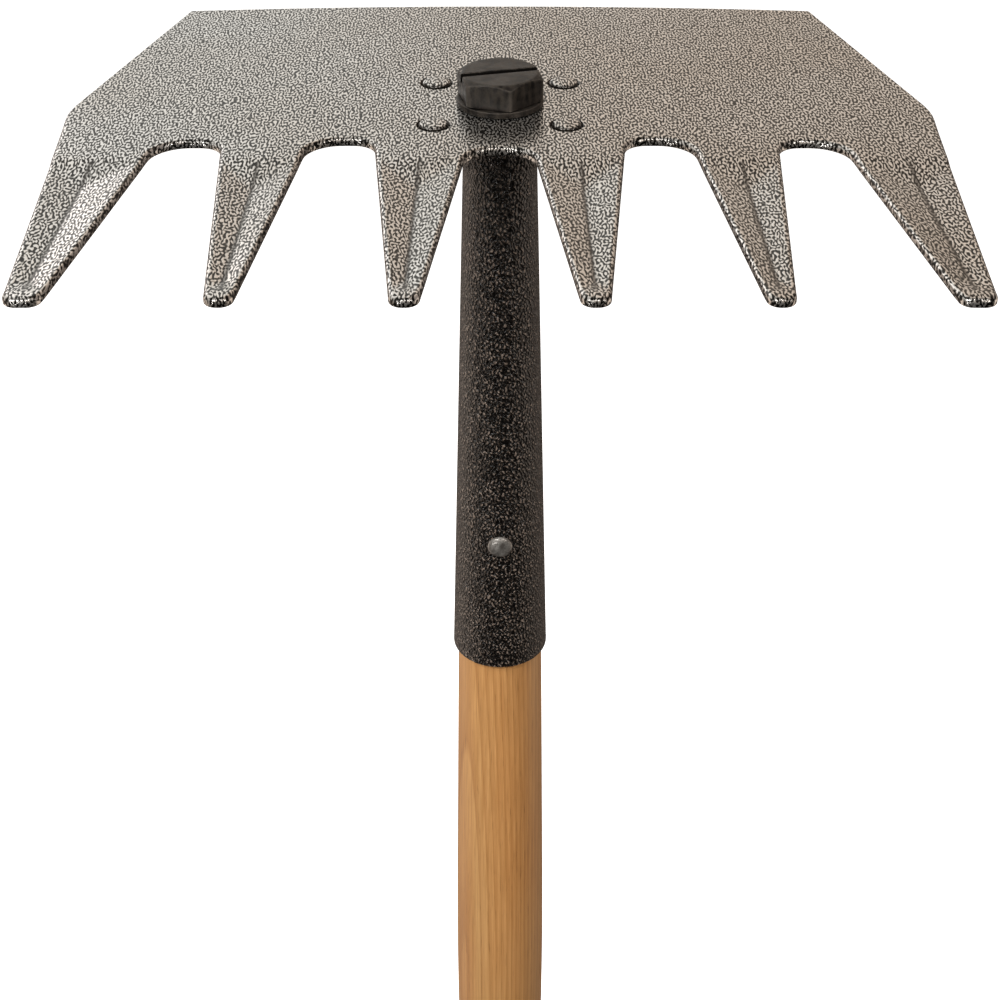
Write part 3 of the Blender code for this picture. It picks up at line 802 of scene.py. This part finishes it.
def handle_rivet(material):
    """Domed rivet through the socket, turned about Z and then laid along Y."""
    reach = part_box("handle_rivet")[1].y
    seat = socket_radius(PIN_DEPTH + PIN_HEAD_R) + GAP
    half = []
    for i in range(11):
        angle = math.radians(90 * (10 - i) / 10)
        height = seat + PIN_HEAD_RIM + (reach - seat - PIN_HEAD_RIM) * math.sin(angle)
        half.append((PIN_HEAD_R * math.cos(angle), height))
    half[0] = (0, reach)
    half += [(PIN_HEAD_R - PIN_HEAD_RIM, seat), (PIN_SHANK_R, seat)]
    profile = half + [(radius, -z) for radius, z in reversed(half)]
    vertices, faces = turned(profile, SMALL_STEPS)
    z = HEAD_Z - PIN_DEPTH
    laid = [(x, height, z - y) for x, y, height in vertices]
    add_piece("socket_rivet", laid, faces, material, "handle_assembly", "handle_rivet")


# ---- materials ----
class Graph:
    """Short calls for the nodes of a material or of the world."""

    def __init__(self, owner, coordinates="Object"):
        self.owner = owner
        owner.use_nodes = True
        self.tree = owner.node_tree
        self.place = self.add("ShaderNodeTexCoord").outputs[coordinates]

    def put(self, socket, value):
        """Link the value to the socket if it is one, or else set it."""
        if isinstance(value, bpy.types.NodeSocket):
            self.tree.links.new(value, socket)
        elif hasattr(value, "__len__") and len(socket.default_value) == 4 and len(value) == 3:
            socket.default_value = (*value, 1)
        else:
            socket.default_value = value

    def add(self, kind, settings=None, **inputs):
        """A new node with these settings and inputs."""
        node = self.tree.nodes.new(kind)
        for key, value in (settings or {}).items():
            setattr(node, key, value)
        for key, value in inputs.items():
            self.put(node.inputs[key.replace("_", " ")], value)
        return node

    def split(self):
        """The place's X, Y and Z."""
        return self.add("ShaderNodeSeparateXYZ", Vector=self.place).outputs

    def math(self, operation, a, b=0.0, clamp=False):
        node = self.add("ShaderNodeMath", {"operation": operation, "use_clamp": clamp})
        self.put(node.inputs[0], a)
        self.put(node.inputs[1], b)
        return node.outputs[0]

    def times(self, a, b):
        return self.math("MULTIPLY", a, b)

    def plus(self, a, b):
        return self.math("ADD", a, b)

    def vector_math(self, operation, *values):
        node = self.add("ShaderNodeVectorMath", {"operation": operation})
        for socket, value in zip(node.inputs, values):
            self.put(socket, value)
        return node

    def stretched(self, x, y, z):
        """The object's place, with each axis multiplied by its number."""
        return self.vector_math("MULTIPLY", self.place, (x, y, z)).outputs["Vector"]

    def dot(self, a, b):
        return self.vector_math("DOT_PRODUCT", a, b).outputs["Value"]

    def noise(self, scale, detail=2.0, rough=0.5, vector=None):
        vector = vector or self.place
        node = self.add("ShaderNodeTexNoise", Vector=vector, Scale=scale, Detail=detail, Roughness=rough)
        return node.outputs["Fac"]

    def waves(self, place, pitch, count, seed):
        """Sum of even sine waves that run in all directions: an endless maze of light and dark worms."""
        total = 0.0
        for i in range(count):
            turn = seed + i * math.pi * (3 - math.sqrt(5))
            rise = 0.7 * (i + 0.5) / count
            flat = math.sqrt(1 - rise * rise)
            pace = math.tau / pitch * (1 + 0.18 * math.sin(seed + 1.9 * i))
            heading = (pace * flat * math.cos(turn), pace * flat * math.sin(turn), pace * rise)
            shifted = self.plus(self.dot(place, heading), 2.399 * i + seed)
            total = self.plus(self.math("SINE", shifted), total)
        reach = 1.7 * math.sqrt(count / 2)
        return self.span(total, -reach, reach)

    def warped(self, scale, amount, place=None):
        """A place, the object's own by default, pushed about by a coloured noise."""
        place = place or self.place
        push = self.add("ShaderNodeTexNoise", Vector=place, Scale=scale, Detail=1.0).outputs["Color"]
        return self.vector_math("MULTIPLY_ADD", push, (amount, amount, amount), place).outputs["Vector"]

    def ramp(self, value, *stops):
        """Colour ramp through stops of (position, colour or grey)."""
        node = self.add("ShaderNodeValToRGB", Fac=value)
        elements = node.color_ramp.elements
        while len(elements) < len(stops):
            elements.new(0.5)
        for element, (position, color) in zip(elements, stops):
            element.position = position
            element.color = (*color, 1) if hasattr(color, "__len__") else (color, color, color, 1)
        return node.outputs["Color"]

    def span(self, value, low, high, to_low=0.0, to_high=1.0):
        """The value moved from one range to another, and kept inside it."""
        node = self.add("ShaderNodeMapRange", {"clamp": True})
        for socket, number in zip(node.inputs[:5], (value, low, high, to_low, to_high)):
            self.put(socket, number)
        return node.outputs["Result"]

    def mix(self, share, a, b, blend="MIX"):
        node = self.add("ShaderNodeMix", {"data_type": "RGBA", "blend_type": blend})
        self.put(node.inputs[0], share)
        self.put(node.inputs[6], a)
        self.put(node.inputs[7], b)
        return node.outputs[2]

    def attribute(self, name):
        return self.add("ShaderNodeAttribute", {"attribute_name": name}).outputs["Fac"]

    def bump(self, height, strength, distance):
        node = self.add("ShaderNodeBump", Strength=strength, Distance=distance, Height=height)
        return node.outputs["Normal"]

    def finish(self, **inputs):
        """Set the material's shader and return the material."""
        shader = self.tree.nodes["Principled BSDF"]
        for key, value in inputs.items():
            self.put(shader.inputs[key.replace("_", " ")], value)
        return self.owner


def new_material(name):
    """The graph of a new material."""
    return Graph(bpy.data.materials.new(name))


def rivet_seam_shade(g):
    """1 along the seam round each rivet's crown, where a dark ring of painted shade goes."""
    split = g.split()
    squares = []
    for axis, off in zip("XY", RIVET_PLACES[1]):
        away = g.math("SUBTRACT", g.math("ABSOLUTE", split[axis]), off)
        squares.append(g.times(away, away))
    distance = g.math("SQRT", g.plus(*squares))
    within = g.span(distance, *(RIVET_CROWN_R + off for off in SEAM_INNER))
    beyond = g.span(distance, *(RIVET_CROWN_R + off for off in SEAM_OUTER))
    return g.math("SUBTRACT", within, beyond, clamp=True)


def silver_hammertone():
    """Silver-grey paint whose flakes gather in small light worms with darker veins between them, and painted
    shade along the creases and round the rivets.
    """
    g = new_material("silver_hammertone")
    place = g.warped(330, 0.0020, g.stretched(1, 0.44, 1))
    maze = g.waves(place, pitch=0.00102, count=14, seed=0.4)
    grit = g.noise(1700, 1.0)
    mottle = g.plus(g.times(maze, 0.82), g.times(grit, 0.18))
    facet = g.attribute("inner_facet")
    middle = 0.55
    calm = g.times(g.math("SUBTRACT", mottle, middle), g.span(facet, 0, 1, 1.0, 0.72))
    mottle = g.plus(calm, middle)
    paint = g.ramp(mottle, (0.33, (0.012, 0.011, 0.010)), (0.44, (0.08, 0.077, 0.071)),
                   (0.51, (0.28, 0.275, 0.262)), (0.58, (0.62, 0.610, 0.585)), (0.66, (0.95, 0.935, 0.91)))
    drift = g.noise(16, 2)
    tinted = g.mix(g.span(drift, 0.35, 0.65), paint, (0.95, 0.92, 0.89), "MULTIPLY")
    # painted shade: the paint goes near black along the creases and in the seams round the rivets
    crease = g.attribute("crease")
    painted_shade = g.math("MAXIMUM", g.times(crease, 0.85), g.times(rivet_seam_shade(g), 0.93))
    with_painted_shade = g.mix(painted_shade, tinted, (0.030, 0.024, 0.019))
    rough = g.span(mottle, 0.2, 0.8, 0.34, 0.22)
    normal = g.bump(mottle, 0.3, 0.0002)
    return g.finish(Base_Color=with_painted_shade, Metallic=0.92, Roughness=rough, Normal=normal,
                    Coat_Weight=0.32, Coat_Roughness=0.08)


def black_hammertone():
    """Black paint with a wrinkled gloss and brown-grey flecks along its worms; the brightest flecks are
    painted glints.
    """
    g = new_material("black_hammertone")
    place = g.warped(330, 0.0022)
    maze = g.waves(place, pitch=0.00125, count=14, seed=1.3)
    grit = g.noise(1500, 1.0)
    mottle = g.plus(g.times(maze, 0.65), g.times(grit, 0.35))
    # dark paint with its own brown flecks; the brightest stop is there for painted glints
    paint = g.ramp(mottle, (0.42, (0.001, 0.0008, 0.0008)), (0.55, (0.003, 0.0023, 0.002)),
                   (0.63, (0.012, 0.009, 0.007)), (0.72, (0.055, 0.041, 0.032)),
                   (0.84, (0.260, 0.205, 0.170)))
    rough = g.span(mottle, 0.3, 0.7, 0.42, 0.22)
    normal = g.bump(mottle, 1.0, 0.0008)
    return g.finish(Base_Color=paint, Metallic=0.1, Roughness=rough, Normal=normal,
                    Coat_Weight=0.9, Coat_Roughness=0.10, Coat_IOR=1.5, Coat_Normal=normal)


def slot_shade(g):
    """1 inside the screwdriver slot, which is painted near black as shade."""
    far, near = SLOT_SHADE_FADE
    away = g.math("ABSOLUTE", g.dot(g.place, (*SLOT_ACROSS, 0.0)))
    within = g.span(away, SLOT / 2 + far, SLOT / 2 + near)
    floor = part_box("cap_screw")[1].z - SLOT
    below = g.span(g.split()["Z"], floor - far, floor - near)
    return g.times(within, below)


def black_oxide():
    """Oily black-oxide steel, lighter brown-grey along its edges, partly rubbed wear and partly painted edge
    highlight, with painted shade in the slot.
    """
    g = new_material("black_oxide")
    cloud = g.noise(170, 4, 0.6)
    streaks = g.noise(500, 3, 0.6, g.stretched(1, 1, 0.35))
    steel = g.ramp(cloud, (0.40, (0.006, 0.0055, 0.0055)), (0.60, (0.040, 0.035, 0.031)))
    steel = g.mix(g.span(streaks, 0.42, 0.72, 0, 0.6), steel, (0.095, 0.078, 0.063))
    edge = g.add("ShaderNodeNewGeometry").outputs["Pointiness"]
    # lighter on convex edges: partly rubbed wear, partly painted edge highlight
    worn_and_highlit = g.mix(g.span(edge, 0.53, 0.62, 0, 0.75), steel, (0.34, 0.30, 0.26))
    # painted shade: the slot's walls and floor go near black
    slot_shaded = g.mix(g.times(slot_shade(g), 0.94), worn_and_highlit, (0.004, 0.0035, 0.003))
    rough = g.span(streaks, 0.3, 0.7, 0.30, 0.52)
    normal = g.bump(streaks, 0.35, 0.0002)
    return g.finish(Base_Color=slot_shaded, Metallic=0.6, Roughness=rough, Normal=normal)


def bare_steel():
    """Plain steel, a little rubbed and uneven."""
    g = new_material("bare_steel")
    rubbed = g.noise(700, 3, 0.6)
    patches = g.noise(330, 3)
    steel = g.ramp(patches, (0.38, (0.20, 0.185, 0.17)), (0.60, (0.58, 0.56, 0.53)))
    rough = g.span(rubbed, 0.3, 0.7, 0.28, 0.44)
    normal = g.bump(rubbed, 0.2, 0.0001)
    return g.finish(Base_Color=steel, Metallic=0.75, Roughness=rough, Normal=normal)


def ash_wood():
    """Lacquered ash, straight grained: growth rings about a far pith, long fibres and short open pores."""
    g = new_material("ash_wood")
    pith_x, pith_y = 0.16, 0.10
    rings_to_a_metre = 390
    sway = g.noise(1, 2, 0.5, g.stretched(14, 14, 1.6))
    across = g.plus(g.split()["X"], pith_x)
    away = g.plus(g.split()["Y"], pith_y)
    reach = g.math("SQRT", g.plus(g.math("POWER", across, 2), g.math("POWER", away, 2)))
    swayed = g.plus(reach, g.times(sway, 0.012))
    rings = g.math("FRACT", g.times(swayed, rings_to_a_metre))
    late = g.ramp(rings, (0.0, 0.9), (0.20, 0.4), (0.55, 0.08), (0.90, 0.0), (1.0, 0.9))
    fibres = g.noise(1, 4, 0.65, g.stretched(1300, 1300, 11))
    pores = g.span(g.noise(1, 2, 0.5, g.stretched(2300, 2300, 80)), 0.58, 0.72)
    pale = g.mix(g.span(fibres, 0.3, 0.7), (0.48, 0.250, 0.090), (0.68, 0.390, 0.160))
    banded = g.mix(g.times(late, 0.7), pale, (0.40, 0.185, 0.062))
    drift = g.noise(1, 2, 0.5, g.stretched(60, 60, 3.5))
    toned = g.mix(g.span(drift, 0.35, 0.65, 0, 0.7), banded, (0.95, 0.80, 0.66), "MULTIPLY")
    depth = g.times(pores, g.plus(g.times(late, 0.5), 0.15))
    dark = g.mix(depth, toned, (0.12, 0.045, 0.015))
    height = g.math("SUBTRACT", g.times(fibres, 0.4), pores)
    normal = g.bump(height, 0.2, 0.0002)
    rough = g.span(fibres, 0.3, 0.7, 0.36, 0.50)
    return g.finish(Base_Color=dark, Roughness=rough, Normal=normal, Coat_Weight=0.3, Coat_Roughness=0.25)


def floor_paper():
    """Pale matt paper."""
    g = new_material("floor_paper")
    grain = g.noise(220, 2)
    paper = g.mix(grain, (0.86, 0.86, 0.86), (0.90, 0.90, 0.90))
    normal = g.bump(grain, 0.05, 0.0005)
    return g.finish(Base_Color=paper, Roughness=0.9, Normal=normal,
                    Emission_Color=(1, 1, 1), Emission_Strength=0.8)


# ---- studio ----
def make_floor():
    """Wide pale floor under the handle's butt."""
    mesh = bpy.data.meshes.new("floor")
    reach = 30
    corners = [(-reach, -reach, 0), (reach, -reach, 0), (reach, reach, 0), (-reach, reach, 0)]
    mesh.from_pydata(corners, [], [(0, 1, 2, 3)])
    mesh.materials.append(floor_paper())
    obj = new_object("floor", mesh)
    obj.visible_glossy = False
    obj.visible_diffuse = False


def softbox(name, location, size, power, color, mirrored):
    """Lamp aimed at the head; one that isn't mirrored lights the pieces but can't be seen in their gloss."""
    light = bpy.data.lights.new(name, "AREA")
    light.shape = "RECTANGLE"
    light.size, light.size_y = size
    light.energy = power
    light.color = color
    obj = new_object(name, light)
    obj.location = Vector(location) + Vector((0, 0, HEAD_Z))
    obj.rotation_mode = "QUATERNION"
    obj.rotation_quaternion = (Vector((0, 0, HEAD_Z)) - obj.location).to_track_quat("-Z", "Y")
    obj.visible_glossy = mirrored


# What light comes from each direction. SKY and BELOW go by how far to the right it comes from, above and
# below the horizon. FADING, HORIZON and OVERHEAD go by its height, and FRONT by how far behind it is.
SKY = (
    (-1.0, (0.36, 0.34, 0.31)),
    (-0.62, (0.62, 0.60, 0.57)),
    (-0.45, (0.80, 0.78, 0.74)),
    (-0.12, (0.79, 0.78, 0.74)),
    (0.08, (0.60, 0.51, 0.43)),
    (0.30, (0.55, 0.46, 0.38)),
    (0.45, (0.38, 0.31, 0.25)),
    (0.65, (0.18, 0.14, 0.12)),
    (1.0, (0.16, 0.13, 0.11)),
)
BELOW = (
    (-1.0, (0.80, 0.66, 0.55)),
    (-0.70, (0.62, 0.51, 0.43)),
    (-0.30, (0.12, 0.10, 0.09)),
    (0.10, (0.05, 0.04, 0.035)),
    (0.60, (0.15, 0.12, 0.10)),
    (1.0, (0.95, 0.80, 0.68)),
)
FADING = ((0.74, 1.0), (0.90, 0.40), (1.0, 0.25))  # darker towards the zenith
HORIZON = ((-0.06, 0.0), (0.16, 1.0))  # from below to above
FRONT = ((-0.35, 0.12), (0.20, 1.0))  # the camera's side is dark
OVERHEAD = ((0.30, 0.0), (0.52, 0.5), (0.85, 0.5), (0.95, 0.1))  # how far that dark side brightens higher up


def by_direction(g, component, stops):
    """Colour ramp over one component of the direction, from -1 to 1."""
    return g.ramp(g.span(component, -1, 1), *(((place + 1) / 2, color) for place, color in stops))


def make_world():
    """White to look at; as light, pale from the left and behind, browner from the right, dark in front."""
    world = bpy.data.worlds.new("studio")
    bpy.context.scene.world = world
    world.use_nodes = True
    world.node_tree.nodes.clear()
    g = Graph(world, "Generated")
    split = g.split()
    sky = g.mix(1.0, by_direction(g, split["X"], SKY), by_direction(g, split["Z"], FADING), "MULTIPLY")
    both = g.mix(by_direction(g, split["Z"], HORIZON), by_direction(g, split["X"], BELOW), sky)
    front = by_direction(g, split["Y"], FRONT)
    shade = g.mix(by_direction(g, split["Z"], OVERHEAD), front, (1, 1, 1))
    lit = g.add("ShaderNodeBackground", Color=g.mix(1.0, both, shade, "MULTIPLY"))
    seen = g.add("ShaderNodeBackground", Color=(1, 1, 1))
    mixed = g.add("ShaderNodeMixShader", Fac=g.add("ShaderNodeLightPath").outputs["Is Camera Ray"])
    g.put(mixed.inputs[1], lit.outputs[0])
    g.put(mixed.inputs[2], seen.outputs[0])
    g.add("ShaderNodeOutputWorld", Surface=mixed.outputs[0])


DAYLIGHT = (1.0, 0.985, 0.96)
SOFT_WHITE = (1.0, 0.97, 0.94)
WARM_WHITE = (1.0, 0.95, 0.89)
ROSE_WHITE = (1.0, 0.93, 0.92)
# Each lamp: its name, its place from the head, its size, its watts, its colour and whether it is mirrored.
LAMPS = (
    ("key_left", (-1.5, -1.5, 1.6), (1.8, 1.8), 76, DAYLIGHT, False),
    ("fill_right", (1.6, -1.4, 1.2), (1.4, 1.4), 24, WARM_WHITE, False),
    ("glint_left", (-1.2, -1.5, 1.5), (0.8, 0.8), 10, DAYLIGHT, True),
    ("glint_low", (-0.9, -1.6, -0.25), (0.22, 0.22), 2.2, DAYLIGHT, True),
    ("glint_right", (1.4, -1.4, 1.2), (0.6, 0.6), 5, WARM_WHITE, True),
    ("front_high", (0.25, -1.1, 1.9), (0.9, 0.3), 4, SOFT_WHITE, True),
    ("back_left", (-1.23, 2.05, 0.73), (0.72, 1.0), 1.8, ROSE_WHITE, True),
    ("back_fill", (0.4, 1.9, 0.9), (1.6, 1.0), 22, SOFT_WHITE, False),
)


def make_camera():
    camera = bpy.data.cameras.new("camera")
    camera.lens = CAMERA_LENS
    camera.sensor_width = 36
    camera.clip_start = 0.01
    obj = new_object("camera", camera)
    x, y, z = CAMERA_PLACE
    obj.location = (x, y, HEAD_Z + z)
    obj.rotation_euler = (math.radians(90 - CAMERA_DOWN_DEG), 0, 0)
    bpy.context.scene.camera = obj
    bpy.context.scene.view_settings.view_transform = "Standard"


def main():
    make_camera()
    silver = silver_hammertone()
    black = black_hammertone()
    oxide = black_oxide()
    steel = bare_steel()
    blade(silver)
    bracket(black)
    rivets(silver)
    washer(oxide)
    cap_screw(oxide)
    socket(black)
    handle(ash_wood())
    handle_rivet(steel)
    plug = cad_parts["threaded_plug"]
    plug.data.materials.clear()
    plug.data.materials.append(steel)
    make_floor()
    make_world()
    for lamp in LAMPS:
        softbox(*lamp)


main()
